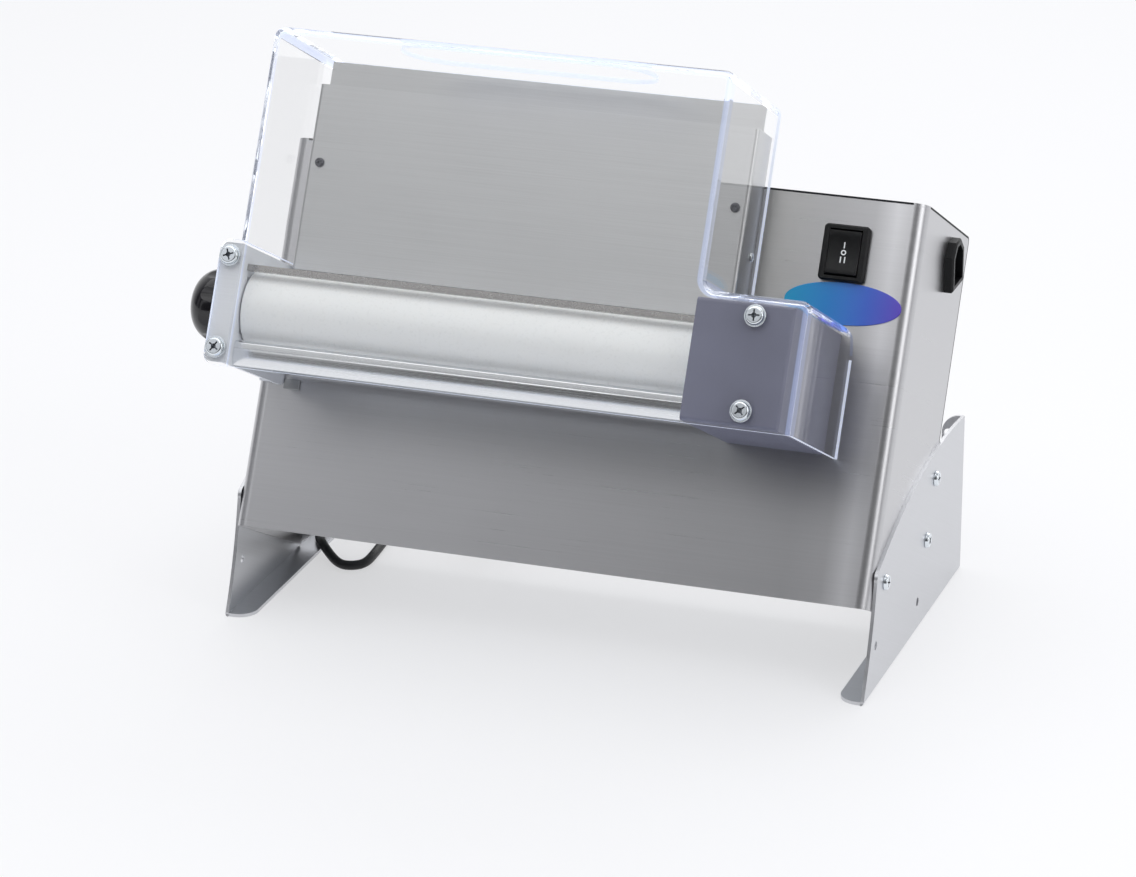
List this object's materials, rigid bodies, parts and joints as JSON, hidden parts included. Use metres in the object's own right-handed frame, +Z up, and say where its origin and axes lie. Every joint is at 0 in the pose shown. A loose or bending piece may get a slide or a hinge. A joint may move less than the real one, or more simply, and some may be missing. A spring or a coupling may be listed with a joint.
{
  "type": "pizza dough roller",
  "caption": "Motor driven worktop dough roller: leaning steel body on bent feet, white rollers in a clear slotted cover, gap knob, rocker switch, socket and cord.",
  "frame": {"origin": "middle of the machine's footprint box, on the surface it stands on, cord left out", "axes": "+X to the machine's right, +Y to its rear, +Z up; the clear cover and switch face -Y"},
  "size_m": [0.5016, 0.5599, 0.4286],
  "materials": {
    "brushed_steel": "brushed",
    "polished_steel": "polished",
    "zinc_steel": "satin",
    "dark_sheet": "satin",
    "white_plastic": "matte",
    "black_plastic": "satin",
    "bronze": "satin",
    "gear_steel": "machined",
    "clear_plastic": "clear",
    "cast_housing": "cast",
    "motor_paint": "satin",
    "grey_plastic": "gloss",
    "blue_plate": "gloss",
    "cord_black": "matte",
    "pin_metal": "polished"
  },
  "bodies": {
    "frame": {"base_plate": "zinc_steel", "cap_spacers": "zinc_steel", "capacitor_clip": "zinc_steel", "chute_screws": "polished_steel", "chute_spacers": "polished_steel", "clear_cover": "clear_plastic", "control_box": "black_plastic", "cord_gland": "black_plastic", "cover_screws": "polished_steel", "discharge_slide": "polished_steel", "flour_pan": "zinc_steel", "foot_nuts": "zinc_steel", "foot_screws": "polished_steel", "front_chute": "brushed_steel", "front_housing": "brushed_steel", "gear_cover": "dark_sheet", "gearbox_bolts": "zinc_steel", "gearbox_housing": "cast_housing", "gearbox_lid": "cast_housing", "guard_bar": "brushed_steel", "left_cap_plate": "brushed_steel", "left_end_plate": "brushed_steel", "left_foot": "brushed_steel", "motor_fan_cover": "motor_paint", "motor_housing": "motor_paint", "outboard_plate": "brushed_steel", "oval_plate": "blue_plate", "panel_nuts": "zinc_steel", "panel_screws": "zinc_steel", "plate_pillars": "zinc_steel", "plug": "black_plastic", "plug_pins": "pin_metal", "power_cord": "cord_black", "power_cord_coil": "cord_black", "rear_bushes": "bronze", "rear_chute": "brushed_steel", "rear_cover": "brushed_steel", "rear_cover_screws": "polished_steel", "right_cap_plate": "brushed_steel", "right_end_plate": "brushed_steel", "right_foot": "brushed_steel", "run_capacitor": "grey_plastic", "scraper_bar": "brushed_steel", "side_socket": "black_plastic", "switch_body": "black_plastic"},
    "rear_roller": {"rear_roller": "white_plastic", "rear_roller_shaft": "zinc_steel", "rear_roller_gear": "gear_steel"},
    "carriage": {"left_bearing_block": "gear_steel", "right_bearing_block": "gear_steel", "front_bushes": "bronze"},
    "front_roller": {"front_roller": "white_plastic", "front_roller_shaft": "zinc_steel", "front_roller_gear": "gear_steel"},
    "adjuster": {"adjusting_shaft": "zinc_steel", "adjusting_knob": "black_plastic"},
    "drive": {"drive_gear": "gear_steel", "output_shaft": "zinc_steel"},
    "fan": {"motor_fan": "black_plastic"},
    "rocker": {"switch_rocker": "black_plastic"}
  },
  "joints": [
    {"name": "rear_roller_spin", "type": "hinge", "parent": "frame", "child": "rear_roller", "pos_m": [0.00625, -0.05004, 0.20982], "axis": [1, 0, 0], "continuous": true},
    {"name": "knob_turn", "type": "hinge", "parent": "frame", "child": "adjuster", "pos_m": [0.00625, -0.10238, 0.23706], "axis": [1, 0, 0], "range_deg": [-60.01, 60.01]},
    {"name": "gap_slide", "type": "slide", "parent": "frame", "child": "carriage", "axis": [0, -0.887, 0.4617], "range_m": [-0.0025, 0.0025]},
    {"name": "front_roller_spin", "type": "hinge", "parent": "carriage", "child": "front_roller", "pos_m": [0.00625, -0.10238, 0.23706], "axis": [1, 0, 0], "continuous": true},
    {"name": "drive_spin", "type": "hinge", "parent": "frame", "child": "drive", "pos_m": [0.00625, 0.00007, 0.18373], "axis": [1, 0, 0], "continuous": true},
    {"name": "fan_spin", "type": "hinge", "parent": "frame", "child": "fan", "pos_m": [0.00625, 0.01123, 0.10239], "axis": [1, 0, 0], "continuous": true},
    {"name": "rocker_tilt", "type": "hinge", "parent": "frame", "child": "rocker", "pos_m": [0.19025, 0.02004, 0.28382], "axis": [1, 0, 0], "range_deg": [-10, 10]}
  ],
  "couplings": [
    {"joint": "front_roller_spin", "follows": "rear_roller_spin", "ratio": -1},
    {"joint": "drive_spin", "follows": "rear_roller_spin", "ratio": -1},
    {"joint": "fan_spin", "follows": "rear_roller_spin", "ratio": -11},
    {"joint": "knob_turn", "follows": "gap_slide", "rad_per_m": 418.88}
  ]
}
